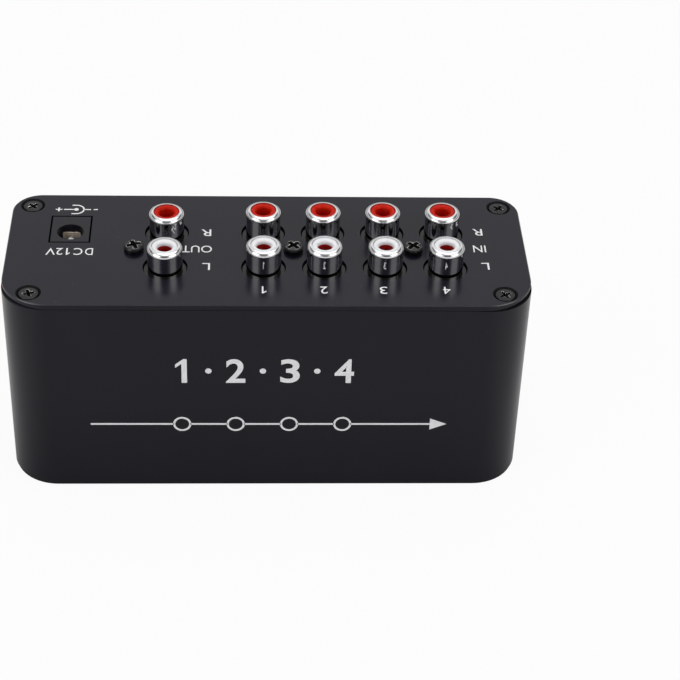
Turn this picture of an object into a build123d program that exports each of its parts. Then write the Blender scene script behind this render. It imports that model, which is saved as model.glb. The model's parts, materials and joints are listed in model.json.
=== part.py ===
from build123d import *
import os

# Audio switch box standing on its front plate. Millimetres, Z up, origin at the middle of the footprint.
# The jack plate faces +Z, the printed face of the case -Y, and its underside in use +Y.

# Fits and cuts shared by all pieces
overrun = 1.0
touch_gap = 0.05
quarter_turn = 90
half_turn = 180

# Case sleeve and end plates
wall = 2.0
top_corner_radius = 10.0
base_corner_radius = 6.0
plate_thickness = 1.5
plate_inset = 0.15
plate_corner_extra = 0.9
plate_edge_break = 0.2
slot_gap = 0.15
slot_rib_height = 2.5
slot_rib_thickness = 1.2

# Corner screws, countersunk, four in each end plate
top_screw_from_side = 6.7
base_screw_from_side = 4.8
corner_screw_from_face = 4.8
screw_shank_radius = 1.4
screw_head_radius = 2.3
screw_length = 9.0
screw_land = 0.05
screw_boss_wall = 1.2
recess_width = 0.9
recess_span = 2.7
recess_depth = 0.75
recess_turn = 45.0

# Pan-head screws that hold the jack blocks
pan_head_radius = 2.2
pan_head_height = 2.0
pan_head_round = 0.6
pan_shank_radius = 1.25
pan_shank_length = 8.5
pan_hole_gap = 0.15

# Jack layout on the rear plate
column_count = 4
column_pitch = 14.1
row_pitch = 14.0
row_lift = 6.4
row_top_margin = 15.0
inlet_margin = 10.0
inlet_to_output = 8.0
output_ear = 3.2
output_screw_reach = 7.5
output_to_input = 8.65
input_margin = 12.65

# Jack blocks
block_depth = 9.0
block_top_margin = 6.8
block_side_gap = 0.1
collar_drop = 0.6
collar_gap = 0.3
jack_hole_radius = 5.2

# Jack shells
barrel_radius = 4.15
barrel_height = 6.6
output_rim_drop = 0.6
rim_round = 0.9
rim_inner_round = 0.12
seat_radius = 3.9
seat_depth = 1.0
neck_radius = 3.5
shell_bore_radius = 3.05

# Insulator rings and cores
ring_drop = 0.2
ring_length = 2.5
ring_lip = 1.1
ring_hole_radius = 1.9
ring_entry_round = 0.6
core_nose_radius = 2.4
core_bore_radius = 1.7
core_bore_length = 4.5

# Jack contacts and ground plates
contact_radius = 1.95
contact_bore_radius = 1.5
contact_length = 8.0
contact_bore_depth = 6.5
tail_width = 1.2
tail_thickness = 0.6
tail_gap = 1.4
core_tail_out = 0.5
ground_thickness = 0.5
ground_margin = 1.0
lead_out = 1.0
tail_drill_radius = 0.75

# Power inlet
inlet_width = 9.0
inlet_height = 10.4
inlet_length = 14.0
inlet_flange = 5.0
inlet_cutout_gap = 0.2
inlet_axis_lift = 6.3
inlet_hole_radius = 3.1
inlet_hole_depth = 9.5
inlet_shell = 1.0
inlet_pin_radius = 1.0
inlet_pin_root_radius = 0.8
inlet_pin_recess = 1.9
inlet_pin_round = 0.6
leaf_width = 4.2
leaf_thickness = 0.3
leaf_reach = 0.55
leaf_recess = 2.0
leaf_room = 0.9
leaf_root_gap = 0.12
leaf_foot_rise = 1.2

# Boards
board_thickness = 1.6
board_lift = 9.6
board_side_gap = 0.3
board_rear_gap = 0.8
board_joint_gap = 0.3
control_standoff = 7.5
control_board_width = 92.0
control_board_height = 27.0
control_board_below = 1.4

# Header between the boards
header_pins = 6
header_pitch = 2.54
header_height = 2.5
header_from_edge = 0.6
header_pin_size = 0.64
header_pin_setback = 1.1
header_drill_radius = 0.55
header_zone = 5.8

# Relays
relay_width = 10.0
relay_height = 11.5
relay_length = 20.0
relay_rear_gap = 1.8
relay_base_thickness = 1.4
relay_cover_wall = 0.6
relay_pin_radius = 0.3
relay_pin_inset = 1.2
relay_pin_rows = 4
relay_drill_radius = 0.45
coil_flange_size = 6.6
coil_flange_thickness = 0.8
coil_radius = 2.8
yoke_width = 5.0
yoke_thickness = 0.8
yoke_setback = 0.9
armature_gap = 0.6
armature_hinge_gap = 0.15
armature_length = 6.6
post_gap = 1.6
post_size = 0.8
post_height = 5.0
post_setback = 2.25

# Small parts on the main board
capacitor_radius = 4.0
capacitor_height = 11.0
capacitor_round = 0.5
capacitor_gap = 1.5
capacitor_lead_pitch = 3.5
lead_radius = 0.3
lead_drill_radius = 0.45
regulator_radius = 2.4
regulator_flat = 1.4
regulator_height = 4.8
regulator_standoff = 2.0
regulator_lead_pitch = 1.27
chip_length = 11.5
chip_width = 7.5
chip_height = 2.3
chip_standoff = 0.2
chip_lead_count = 9
chip_lead_pitch = 1.27
chip_lead_width = 0.4
chip_lead_thickness = 0.25
chip_lead_reach = 1.4

# Front plate controls
light_count = 4
light_pitch = 14.0
light_radius = 1.5
light_rim_radius = 1.9
light_rim_height = 1.0
light_length = 5.3
light_recess = 0.2
light_hole_gap = 0.1
window_from_edge = 8.0
window_width = 14.0
window_height = 9.0
window_round = 2.0
window_flange = 0.8
window_flange_thickness = 1.0
window_gap = 0.05
receiver_width = 7.0
receiver_height = 6.5
receiver_depth = 4.0
receiver_lens_radius = 1.6
receiver_standoff = 0.5
receiver_lead_pitch = 2.54
button_from_edge = 8.0
button_radius = 3.5
button_gap = 0.2
button_recess = 0.25
button_edge_round = 0.4
button_flange_radius = 4.5
button_flange_thickness = 1.0
button_flange_gap = 0.1
button_stem_radius = 2.2
switch_size = 6.0
switch_height = 3.5
plunger_radius = 1.7
plunger_gap = 0.15
plunger_rise = 1.3
plunger_seat = 0.4
plunger_travel_room = 0.5

# Stick-on feet on the underside
foot_radius = 4.0
foot_height = 2.0
foot_edge_round = 0.4
foot_from_side = 15.0
foot_from_end = 10.0

# Heights, from the front plate up to the jack plate
z_sleeve_low = plate_thickness
z_control_front = z_sleeve_low + control_standoff
z_control_back = z_control_front + board_thickness
z_board_front = z_control_back + board_joint_gap
z_relay_front = z_board_front + header_zone
z_relay_back = z_relay_front + relay_length
z_white_tail = z_relay_back + relay_rear_gap
z_red_tail = z_white_tail + tail_thickness + tail_gap
z_core_back = z_red_tail + tail_thickness + tail_gap
z_ground_back = z_core_back + core_tail_out
z_block_back = z_ground_back + ground_thickness
z_sleeve_high = z_block_back + block_depth
z_rear = z_sleeve_high + plate_thickness
z_board_back = z_sleeve_high - board_rear_gap
z_seat = z_sleeve_high - seat_depth
z_rim = z_rear + barrel_height
core_drop = ring_drop + ring_lip + touch_gap
z_contact_top = z_rim - core_drop - core_bore_length - touch_gap
z_contact_low = z_contact_top - contact_length
z_inlet_back = z_rear - inlet_length
z_inlet_floor = z_rear - inlet_hole_depth

# Widths, from the inlet side to the far side of the input jacks
input_width = column_count * column_pitch
output_width = output_ear + column_pitch
case_width = (inlet_margin + inlet_width + inlet_to_output + output_width
              + output_to_input + input_width + input_margin)
x_side = case_width / 2
x_inlet = -x_side + inlet_margin + inlet_width / 2
x_output_low = -x_side + inlet_margin + inlet_width + inlet_to_output
x_output_high = x_output_low + output_width
x_output = x_output_high - column_pitch / 2
x_input_low = x_output_high + output_to_input
x_input_high = x_input_low + input_width
x_columns = [x_input_low + column_pitch * (n + 0.5) for n in range(column_count)]
x_inner = x_side - wall

# Depths, from the underside to the printed face
case_depth = board_lift + row_lift + row_pitch + row_top_margin
y_face = case_depth / 2
y_board = y_face - board_lift
y_board_back = y_board + board_thickness
y_red = y_board - row_lift
y_white = y_red - row_pitch
y_middle_row = (y_red + y_white) / 2
y_block_top = y_white - block_top_margin
y_inlet = y_board - inlet_axis_lift
y_lead_end = y_board_back + lead_out

# Places shared by several pieces
y_corner_screw = y_face - corner_screw_from_face
corner_insets = {-y_corner_screw: top_screw_from_side, y_corner_screw: base_screw_from_side}
corner_places = [(side * (x_side - inset), y) for side in (-1, 1) for y, inset in corner_insets.items()]
screw_head_height = screw_head_radius - screw_shank_radius
coil_length = (relay_length - 2 * relay_cover_wall - yoke_setback - 2 * yoke_thickness - touch_gap
               - armature_gap - post_gap - post_size - post_setback)
screw_sink = plate_thickness - screw_head_height - screw_land
rows = {"right": (y_red, z_red_tail), "left": (y_white, z_white_tail)}
columns = {"output": x_output} | {f"input_{n + 1}": x for n, x in enumerate(x_columns)}
jack_places = [(x, y) for x in columns.values() for y, _ in rows.values()]
rims = {name: z_rim - (output_rim_drop if name == "output" else 0) for name in columns}
output_screw_xs = [x_output - output_screw_reach]
input_screw_xs = [x_columns[n] + column_pitch / 2 for n in range(0, column_count, 2)]
output_tab_xs = [x_output - column_pitch / 2]
input_tab_xs = [x + column_pitch / 2 for x in x_columns[:-1]]
light_xs = [light_pitch * (n - (light_count - 1) / 2) for n in range(light_count)]
x_window = -control_board_width / 2 + window_from_edge
x_button = control_board_width / 2 - button_from_edge
header_xs = [header_pitch * (n - (header_pins - 1) / 2) for n in range(header_pins)]
y_header = y_board - header_height / 2
z_header_low = z_board_front + header_from_edge
z_header_high = z_header_low + header_height
z_header_pin = z_header_high + header_pin_setback
z_capacitor = z_inlet_back - leaf_thickness - capacitor_gap - capacitor_radius
capacitor_xs = [x_inlet, x_inlet + 2 * capacitor_radius + capacitor_gap]
x_regulator = x_output
z_regulator = z_capacitor
x_chip = x_inlet + chip_length / 2
z_chip = z_relay_front + chip_width / 2


def block(x, y, z):
    """Box between a low and a high limit on each axis."""
    spans = (x, y, z)
    middle = [(low + high) / 2 for low, high in spans]
    return Pos(*middle) * Box(*(high - low for low, high in spans))


def around(middle, size):
    """Limits of a span of this size about its middle."""
    return middle - size / 2, middle + size / 2


def rod_z(x, y, radius, low, high):
    """Upright round bar."""
    return Pos(x, y, (low + high) / 2) * Cylinder(radius, high - low)


def rod_y(x, z, radius, low, high):
    """Round bar that lies along the case's depth."""
    return Pos(x, (low + high) / 2, z) * Rot(quarter_turn, 0, 0) * Cylinder(radius, high - low)


def cone_z(x, y, low_radius, high_radius, low, high):
    """Upright cone between two radii."""
    return Pos(x, y, (low + high) / 2) * Cone(low_radius, high_radius, high - low)


def rounded_bar(width, depth, radius, low, high):
    """Upright bar with a rounded rectangular section about the Z axis."""
    return Pos(0, 0, low) * extrude(RectangleRounded(width, depth, radius), high - low)


def case_bar(inset, extra_round, low, high):
    """Upright bar with the case's section drawn in by an inset. The printed face has the larger corners."""
    section = Rectangle(case_width - 2 * inset, case_depth - 2 * inset)
    section = fillet(section.vertices().group_by(Axis.Y)[0], top_corner_radius - inset + extra_round)
    section = fillet(section.vertices().group_by(Axis.Y)[-1], base_corner_radius - inset + extra_round)
    return Pos(0, 0, low) * extrude(section, high - low)


def circles(shape, place):
    """Round edges at one end of the Z order, smallest radius first."""
    return shape.edges().filter_by(GeomType.CIRCLE).group_by(Axis.Z)[place].sort_by(SortBy.RADIUS)


def join(shapes):
    """One solid from pieces that meet."""
    first, *rest = shapes
    return first + rest if rest else first


def group(shapes):
    """Separate solids kept side by side in one node."""
    return Compound([solid for shape in shapes for solid in shape.solids()])


def cross_recess(high):
    """Cross-shaped driver recess that opens upwards."""
    z = (high - recess_depth, high + overrun)
    long_span, short_span = around(0, recess_span), around(0, recess_width)
    return Rot(0, 0, recess_turn) * (block(long_span, short_span, z) + block(short_span, long_span, z))


# Case


def case_sleeve():
    """Extruded tube with a screw port in each corner and a board slot in each side wall."""
    ends = (z_sleeve_low, z_sleeve_high)
    outer = case_bar(0, 0, *ends)
    inner = case_bar(wall, 0, *ends)
    port_radius = screw_shank_radius + touch_gap
    ports = [rod_z(x, y, port_radius + screw_boss_wall, *ends) for x, y in corner_places]
    ribs = []
    for side in (-1, 1):
        x = sorted((side * (x_inner - slot_rib_height), side * (x_inner + wall / 2)))
        for y in (y_board - slot_gap - slot_rib_thickness, y_board_back + slot_gap):
            ribs.append(block(x, (y, y + slot_rib_thickness), ends))
    bores = [rod_z(x, y, port_radius, z_sleeve_low - overrun, z_sleeve_high + overrun)
             for x, y in corner_places]
    return outer - inner + [outer & piece for piece in ports + ribs] - bores


def end_plate(low, outward):
    """Blank plate with a broken outer edge and four countersunk corner holes."""
    high = low + plate_thickness
    plate = case_bar(plate_inset, plate_corner_extra, low, high)
    outer_edges = plate.edges().group_by(Axis.Z)[-1 if outward > 0 else 0]
    plate = chamfer(outer_edges, plate_edge_break)
    hole = screw_shank_radius + touch_gap
    face = high if outward > 0 else low
    for x, y in corner_places:
        plate -= rod_z(x, y, hole, low - overrun, high + overrun)
        sink = Pos(x, y, face) * Rot(0 if outward > 0 else half_turn, 0, 0) * countersink(hole)
        plate -= sink
    return plate


def countersink(hole):
    """Cone for a screw head that sits below the plate's face, which is at zero height."""
    depth = screw_sink + screw_head_height
    return cone_z(0, 0, hole, hole + depth + overrun, -depth, overrun)


def rear_plate():
    """Jack plate with its jack holes, screw holes and inlet cut-out."""
    plate = end_plate(z_sleeve_high, 1)
    through = (z_sleeve_high - overrun, z_rear + overrun)
    for x, y in jack_places:
        plate -= rod_z(x, y, jack_hole_radius, *through)
    for x in output_screw_xs + input_screw_xs:
        plate -= rod_z(x, y_middle_row, pan_shank_radius + pan_hole_gap, *through)
    cutout_y = (y_board - inlet_height - inlet_cutout_gap, y_board + inlet_cutout_gap)
    return plate - block(around(x_inlet, inlet_width + 2 * inlet_cutout_gap), cutout_y, through)


def front_plate():
    """Control plate with its window, light holes and button hole."""
    plate = end_plate(0, -1)
    through = (-overrun, plate_thickness + overrun)
    for x in light_xs:
        plate -= rod_z(x, 0, light_radius + light_hole_gap, *through)
    plate -= rod_z(x_button, 0, button_radius + button_gap, *through)
    opening = rounded_bar(window_width, window_height, window_round, *through)
    return plate - Pos(x_window, 0, 0) * opening


def corner_screw():
    """Countersunk screw that points down, with its head's top at zero height."""
    head = cone_z(0, 0, screw_shank_radius, screw_head_radius, -screw_head_height, 0)
    shank = rod_z(0, 0, screw_shank_radius, -screw_length, -screw_head_height)
    return head + shank - cross_recess(0)


def rear_plate_screws():
    screw = corner_screw()
    return group(Pos(x, y, z_rear - screw_sink) * screw for x, y in corner_places)


def front_plate_screws():
    screw = Rot(half_turn, 0, 0) * corner_screw()
    return group(Pos(x, y, screw_sink) * screw for x, y in corner_places)


def jack_block_screws():
    """Pan-head screws through the rear plate into the jack blocks."""
    head = rod_z(0, 0, pan_head_radius, 0, pan_head_height)
    head = fillet(circles(head, -1), pan_head_round)
    screw = head + rod_z(0, 0, pan_shank_radius, -pan_shank_length, 0) - cross_recess(pan_head_height)
    return group(Pos(x, y_middle_row, z_rear) * screw for x in output_screw_xs + input_screw_xs)


def feet():
    """Stick-on feet on the underside."""
    pieces = []
    for x in (-x_side + foot_from_side, x_side - foot_from_side):
        for z in (z_sleeve_low + foot_from_end, z_sleeve_high - foot_from_end):
            foot = rod_z(0, 0, foot_radius, 0, foot_height)
            foot = fillet(circles(foot, -1), foot_edge_round)
            pieces.append(Pos(x, y_face, z) * Rot(-quarter_turn, 0, 0) * foot)
    return group(pieces)


# Jacks


def jack_block(x_low, x_high, xs, screw_xs):
    """Moulded housing with a collar in each plate hole."""
    x = (x_low + block_side_gap, x_high - block_side_gap)
    body = block(x, (y_block_top, y_board), (z_block_back, z_sleeve_high))
    places = [(at, y) for at in xs for y, _ in rows.values()]
    for at, y in places:
        body += rod_z(at, y, jack_hole_radius - collar_gap, z_sleeve_high, z_rear - collar_drop)
    for at, y in places:
        body -= rod_z(at, y, neck_radius + touch_gap, z_block_back - overrun, z_seat)
        body -= rod_z(at, y, seat_radius + touch_gap, z_seat, z_rear)
    z_pilot = z_rear - pan_shank_length - touch_gap
    for at in screw_xs:
        body -= rod_z(at, y_middle_row, pan_shank_radius + touch_gap, z_pilot, z_rear)
    return body


def jack_shell(x, y, rim):
    """Bright barrel with a rolled rim, stepped down to a neck that reaches the ground plate."""
    z_step = z_rear - touch_gap
    barrel = rod_z(x, y, barrel_radius, z_step, rim)
    seat = rod_z(x, y, seat_radius, z_seat, z_step)
    neck = rod_z(x, y, neck_radius, z_ground_back, z_seat)
    bore = rod_z(x, y, shell_bore_radius, z_ground_back - overrun, rim + overrun)
    shell = barrel + seat + neck - bore
    shell = fillet(circles(shell, -1)[-1:], rim_round)
    return fillet(circles(shell, -1)[:1], rim_inner_round)


def jack_ring(x, y, rim):
    """Coloured insulator at the jack's mouth, with a rounded entry."""
    radius = shell_bore_radius - touch_gap
    high = rim - ring_drop
    low = high - ring_length
    ring = rod_z(x, y, radius, low, high)
    ring -= rod_z(x, y, ring_hole_radius, low - overrun, high + overrun)
    ring = fillet(circles(ring, -1)[:1], ring_entry_round)
    return ring - rod_z(x, y, core_nose_radius + touch_gap, low - overrun, high - ring_lip)


def jack_core(x, y, rim):
    """Inner insulator that guides the plug's pin, with the contact pressed in from behind."""
    z_shoulder = rim - ring_drop - ring_length - touch_gap
    core = rod_z(x, y, shell_bore_radius - touch_gap, z_core_back, z_shoulder)
    core += rod_z(x, y, core_nose_radius, z_shoulder, rim - core_drop)
    core -= rod_z(x, y, core_bore_radius, z_contact_top, rim + overrun)
    return core - rod_z(x, y, contact_radius + touch_gap, z_core_back - overrun, z_contact_top + touch_gap)


def jack_contact(x, y, z_tail):
    """Centre socket with a tail that bends down to the main board."""
    cup = rod_z(x, y, contact_radius, z_contact_low, z_contact_top)
    cup -= rod_z(x, y, contact_bore_radius, z_contact_top - contact_bore_depth, z_contact_top + overrun)
    tail_x = around(x, tail_width)
    tail_y = around(y, tail_thickness)
    stem = block(tail_x, tail_y, (z_tail, z_contact_low))
    foot = block(tail_x, (tail_y[0], y_lead_end), (z_tail, z_tail + tail_thickness))
    return cup + stem + foot


def ground_plate(x_low, x_high, xs, tab_xs):
    """Sheet behind a jack block that ties its shells to the main board."""
    z = (z_ground_back, z_block_back)
    sheet = block((x_low + ground_margin, x_high - ground_margin),
                  (y_block_top + ground_margin, y_board), z)
    for at in xs:
        for y, _ in rows.values():
            sheet -= rod_z(at, y, neck_radius + touch_gap, z[0] - overrun, z[1] + overrun)
    tabs = [block(around(at, tail_width), (y_board - ground_margin, y_lead_end), z) for at in tab_xs]
    return sheet + tabs


# Power inlet


def inlet_leaf_y():
    """Limits of the contact leaf across its thickness."""
    inner = y_inlet + inlet_hole_radius - leaf_reach
    return inner, inner + leaf_thickness


def inlet_terminal(gap):
    """Fixed strip that carries the leaf, widened by a gap where its slot is cut."""
    x = around(x_inlet, leaf_width + 2 * gap)
    low, high = inlet_leaf_y()
    z_foot = z_inlet_back + leaf_foot_rise
    stem = block(x, (low - gap, high + gap), (z_foot - gap, z_inlet_floor))
    foot = block(x, (low - gap, y_lead_end), (z_foot - gap, z_foot + leaf_thickness + gap))
    return stem + foot


def inlet_body():
    """Moulded socket whose square nose fills the plate's cut-out."""
    y = (y_board - inlet_height, y_board)
    x = around(x_inlet, inlet_width)
    nose = block(x, y, (z_rear - inlet_flange, z_rear))
    radius = inlet_hole_radius + inlet_shell
    tube = rod_z(x_inlet, y_inlet, radius, z_inlet_back, z_rear - inlet_flange)
    foot = block(around(x_inlet, 2 * radius), (y_inlet, y_board), (z_inlet_back, z_rear - inlet_flange))
    body = nose + tube + foot
    body -= rod_z(x_inlet, y_inlet, inlet_hole_radius, z_inlet_floor, z_rear + overrun)
    body -= rod_z(x_inlet, y_inlet, inlet_pin_root_radius + touch_gap, z_inlet_back - overrun, z_inlet_floor)
    pocket_y = (y_inlet, inlet_leaf_y()[1] + leaf_room)
    pocket_z = (z_inlet_floor, z_rear - leaf_recess + leaf_root_gap)
    body -= block(around(x_inlet, leaf_width + 2 * slot_gap), pocket_y, pocket_z)
    return body - inlet_terminal(touch_gap)


def inlet_pin():
    """Centre pin with a tail on the back of the socket."""
    z_tip = z_rear - inlet_pin_recess
    pin = rod_z(x_inlet, y_inlet, inlet_pin_radius, z_inlet_floor + touch_gap, z_tip)
    pin = fillet(circles(pin, -1), inlet_pin_round)
    z_tail = z_inlet_back - touch_gap - leaf_thickness
    root = rod_z(x_inlet, y_inlet, inlet_pin_root_radius, z_tail, z_inlet_floor + touch_gap)
    tail_y = (y_inlet - inlet_pin_root_radius, y_lead_end)
    tail = block(around(x_inlet, tail_width), tail_y, (z_tail, z_tail + leaf_thickness))
    return pin + root + tail


def inlet_leaf():
    """Springy contact that a plug's sleeve pushes aside."""
    z = (z_inlet_floor + leaf_root_gap, z_rear - leaf_recess)
    return block(around(x_inlet, leaf_width), inlet_leaf_y(), z)


# Relays


def relay_contents(x):
    """Base, cover, coil, yoke, armature, contact posts and pins of one relay at its column."""
    y_base = y_board - relay_base_thickness
    y_top = y_board - relay_height
    ends = (z_relay_front, z_relay_back)
    width = around(x, relay_width)
    base = block(width, (y_base, y_board), ends)
    cover = block(width, (y_top, y_base), ends)
    cover -= block(around(x, relay_width - 2 * relay_cover_wall),
                   (y_top + relay_cover_wall, y_base + overrun),
                   (ends[0] + relay_cover_wall, ends[1] - relay_cover_wall))
    z_leg = z_relay_front + relay_cover_wall + yoke_setback
    z_coil = z_leg + yoke_thickness + touch_gap
    coil = relay_coil(x, y_base, z_coil)
    z_armature = z_coil + coil_length + armature_gap
    yoke, y_yoke = relay_yoke(x, y_base, z_leg, z_armature - armature_hinge_gap)
    z_plate = (z_armature, z_armature + yoke_thickness)
    armature = block(around(x, yoke_width), (y_yoke, y_yoke + armature_length), z_plate)
    z_post = z_plate[1] + post_gap
    posts = [block(around(x + side * yoke_width / 2, post_size), (y_base - post_height, y_base),
                   (z_post, z_post + post_size)) for side in (-1, 1)]
    pins = [rod_y(px, pz, relay_pin_radius, y_board, y_lead_end) for px, pz in relay_pin_places(x)]
    return {"base": base, "cover": cover, "coil": coil, "yoke": yoke, "armature": armature,
            "posts": posts, "pins": pins}


def relay_coil(x, y_base, z_low):
    """Wound bobbin between two square flanges that stand on the base."""
    y = (y_base - coil_flange_size, y_base)
    z_high = z_low + coil_length
    flanges = [block(around(x, coil_flange_size), y, z) for z in
               ((z_low, z_low + coil_flange_thickness), (z_high - coil_flange_thickness, z_high))]
    return join([rod_z(x, sum(y) / 2, coil_radius, z_low, z_high)] + flanges)


def relay_yoke(x, y_base, z_low, z_high):
    """Angle of iron round the coil, and the level of its outer face."""
    y_inner = y_base - coil_flange_size - touch_gap
    y_outer = y_inner - yoke_thickness
    width = around(x, yoke_width)
    leg = block(width, (y_outer, y_base), (z_low, z_low + yoke_thickness))
    return leg + block(width, (y_outer, y_inner), (z_low, z_high)), y_outer


def relay_pin_places(x):
    """Pin places of one relay, in two lines along its length."""
    reach = relay_length - 2 * relay_pin_inset
    zs = [z_relay_front + relay_pin_inset + reach * n / (relay_pin_rows - 1) for n in range(relay_pin_rows)]
    return [(x + side * (relay_width / 2 - relay_pin_inset), z) for side in (-1, 1) for z in zs]


# Small parts on the main board


def capacitor_leads():
    return [(x + side * capacitor_lead_pitch / 2, z_capacitor) for x in capacitor_xs for side in (-1, 1)]


def filter_capacitors():
    """Upright cans, each with two leads through the board."""
    cans = []
    for x in capacitor_xs:
        can = rod_y(x, z_capacitor, capacitor_radius, y_board - capacitor_height, y_board)
        can = fillet(can.edges().group_by(Axis.Y)[0], capacitor_round)
        leads = [rod_y(x + side * capacitor_lead_pitch / 2, z_capacitor, lead_radius, y_board, y_lead_end)
                 for side in (-1, 1)]
        cans.append(can + leads)
    return group(cans)


def regulator_leads():
    return [(x_regulator + n * regulator_lead_pitch, z_regulator) for n in (-1, 0, 1)]


def voltage_regulator():
    """Small moulded regulator with one flat side, on three leads."""
    y_low = y_board - regulator_standoff
    body = rod_y(x_regulator, z_regulator, regulator_radius, y_low - regulator_height, y_low)
    flat = block(around(x_regulator, 2 * regulator_radius + overrun),
                 (y_low - regulator_height - overrun, y_low + overrun),
                 (z_regulator + regulator_flat, z_regulator + regulator_radius + overrun))
    leads = [rod_y(x, z, lead_radius, y_low, y_lead_end) for x, z in regulator_leads()]
    return body - flat + leads


def controller_chip():
    """Flat chip with bent leads that stand on the board."""
    y_low = y_board - chip_standoff
    width = around(z_chip, chip_width)
    pieces = [block(around(x_chip, chip_length), (y_low - chip_height, y_low), width)]
    y_lead = y_low - chip_height / 2
    for n in range(chip_lead_count):
        x = around(x_chip + chip_lead_pitch * (n - (chip_lead_count - 1) / 2), chip_lead_width)
        for side, edge in zip((-1, 1), width):
            knee = sorted((edge, edge + side * chip_lead_reach))
            drop = sorted((edge + side * (chip_lead_reach - chip_lead_thickness),
                           edge + side * chip_lead_reach))
            pieces.append(block(x, (y_lead, y_lead + chip_lead_thickness), knee))
            pieces.append(block(x, (y_lead, y_board), drop))
    return join(pieces)


# Boards and the header between them


def drill_y(board, places, radius):
    """Board with holes along the case's depth."""
    return board - [rod_y(x, z, radius, y_board - overrun, y_board_back + overrun) for x, z in places]


def main_board():
    """Board in the case's slots that carries jacks, relays and the inlet."""
    half = x_inner - board_side_gap
    board = block((-half, half), (y_board, y_board_back), (z_board_front, z_board_back))
    tail_zs = [z + tail_thickness / 2 for _, z in rows.values()]
    z_tab = (z_ground_back + z_block_back) / 2
    tails = [(x, z) for x in columns.values() for z in tail_zs]
    tabs = [(x, z_tab) for x in output_tab_xs + input_tab_xs]
    board = drill_y(board, tails + tabs, tail_drill_radius)
    z_pin_tail = z_inlet_back - touch_gap - leaf_thickness / 2
    board = drill_y(board, [(x_inlet, z_pin_tail)], tail_drill_radius)
    z_foot = z_inlet_back + leaf_foot_rise + leaf_thickness / 2
    board = drill_y(board, [(x_inlet, z_foot)], leaf_width / 2 + slot_gap)
    relay_places = [place for x in x_columns for place in relay_pin_places(x)]
    board = drill_y(board, relay_places, relay_drill_radius)
    board = drill_y(board, capacitor_leads() + regulator_leads(), lead_drill_radius)
    return drill_y(board, [(x, z_header_pin) for x in header_xs], header_drill_radius)


def control_board():
    """Upright board behind the front plate."""
    y_high = y_board_back + control_board_below
    y = (y_high - control_board_height, y_high)
    board = block(around(0, control_board_width), y, (z_control_front, z_control_back))
    holes = [(x, y_header, header_drill_radius) for x in header_xs]
    holes += [(x, 0, lead_drill_radius) for x in light_leads()]
    holes += [(x, 0, lead_drill_radius) for x in receiver_leads()]
    through = (z_control_front - overrun, z_control_back + overrun)
    return board - [rod_z(x, y, radius, *through) for x, y, radius in holes]


def board_header():
    """Plastic strip of the header, with a square hole for each pin."""
    strip = block(around(0, header_pins * header_pitch), (y_board - header_height, y_board),
                  (z_header_low, z_header_high))
    hole = header_pin_size + 2 * touch_gap
    for x in header_xs:
        strip -= block(around(x, hole), around(y_header, hole),
                       (z_header_low - overrun, z_header_high + overrun))
    return strip


def header_pin_group():
    """Bent square pins that join the two boards."""
    pins = []
    for x in header_xs:
        span = around(x, header_pin_size)
        y_low, y_high = around(y_header, header_pin_size)
        z_low, z_high = around(z_header_pin, header_pin_size)
        along = block(span, (y_low, y_high), (z_control_front - lead_out, z_high))
        pins.append(along + block(span, (y_low, y_lead_end), (z_low, z_high)))
    return group(pins)


# Front plate controls


def light_leads():
    return [x + side * header_pitch / 2 for x in light_xs for side in (-1, 1)]


def indicator_lights():
    """Round-nosed lamps that end just inside the front plate's face."""
    lamps = []
    z_dome = light_recess + light_radius
    z_back = light_recess + light_length
    for x in light_xs:
        lamp = rod_z(x, 0, light_radius, z_dome, z_back)
        lamp += Pos(x, 0, z_dome) * Sphere(light_radius)
        lamp += rod_z(x, 0, light_rim_radius, z_back - light_rim_height, z_back)
        lamp += [rod_z(x + side * header_pitch / 2, 0, lead_radius, z_back, z_control_back + lead_out)
                 for side in (-1, 1)]
        lamps.append(lamp)
    return group(lamps)


def ir_window():
    """Clear pane flush with the front plate, held by a flange behind it."""
    pane = rounded_bar(window_width - 2 * window_gap, window_height - 2 * window_gap,
                       window_round - window_gap, 0, plate_thickness)
    flange = rounded_bar(window_width + 2 * window_flange, window_height + 2 * window_flange,
                         window_round + window_flange, plate_thickness,
                         plate_thickness + window_flange_thickness)
    return Pos(x_window, 0, 0) * (pane + flange)


def receiver_leads():
    return [x_window + n * receiver_lead_pitch for n in (-1, 0, 1)]


def ir_receiver():
    """Infrared receiver with a round lens close behind its window."""
    z_back = z_control_front - receiver_standoff
    z_front = z_back - receiver_depth
    body = block(around(x_window, receiver_width), around(0, receiver_height), (z_front, z_back))
    body += Pos(x_window, 0, z_front) * Sphere(receiver_lens_radius)
    leads = [rod_z(x, 0, lead_radius, z_back, z_control_back + lead_out) for x in receiver_leads()]
    return body + leads


def select_button():
    """Push button whose flange rests behind the front plate."""
    z_flange = plate_thickness + button_flange_gap
    z_stem = z_flange + button_flange_thickness
    cap = rod_z(x_button, 0, button_radius, button_recess, z_flange)
    cap = fillet(circles(cap, 0), button_edge_round)
    flange = rod_z(x_button, 0, button_flange_radius, z_flange, z_stem)
    return cap + flange + rod_z(x_button, 0, button_stem_radius, z_stem, plunger_front() - touch_gap)


def plunger_front():
    """Level of the plunger's outer end."""
    return z_control_front - switch_height - plunger_rise


def switch_plunger():
    """Moving part of the switch, pushed by the button's stem."""
    z_back = z_control_front - switch_height + plunger_seat
    return rod_z(x_button, 0, plunger_radius, plunger_front(), z_back)


def select_switch():
    """Switch body on the control board with a well for its plunger."""
    z_front = z_control_front - switch_height
    body = block(around(x_button, switch_size), around(0, switch_size), (z_front, z_control_front))
    z_well = z_front + plunger_seat + plunger_travel_room
    return body - rod_z(x_button, 0, plunger_radius + plunger_gap, z_front - overrun, z_well)


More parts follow.
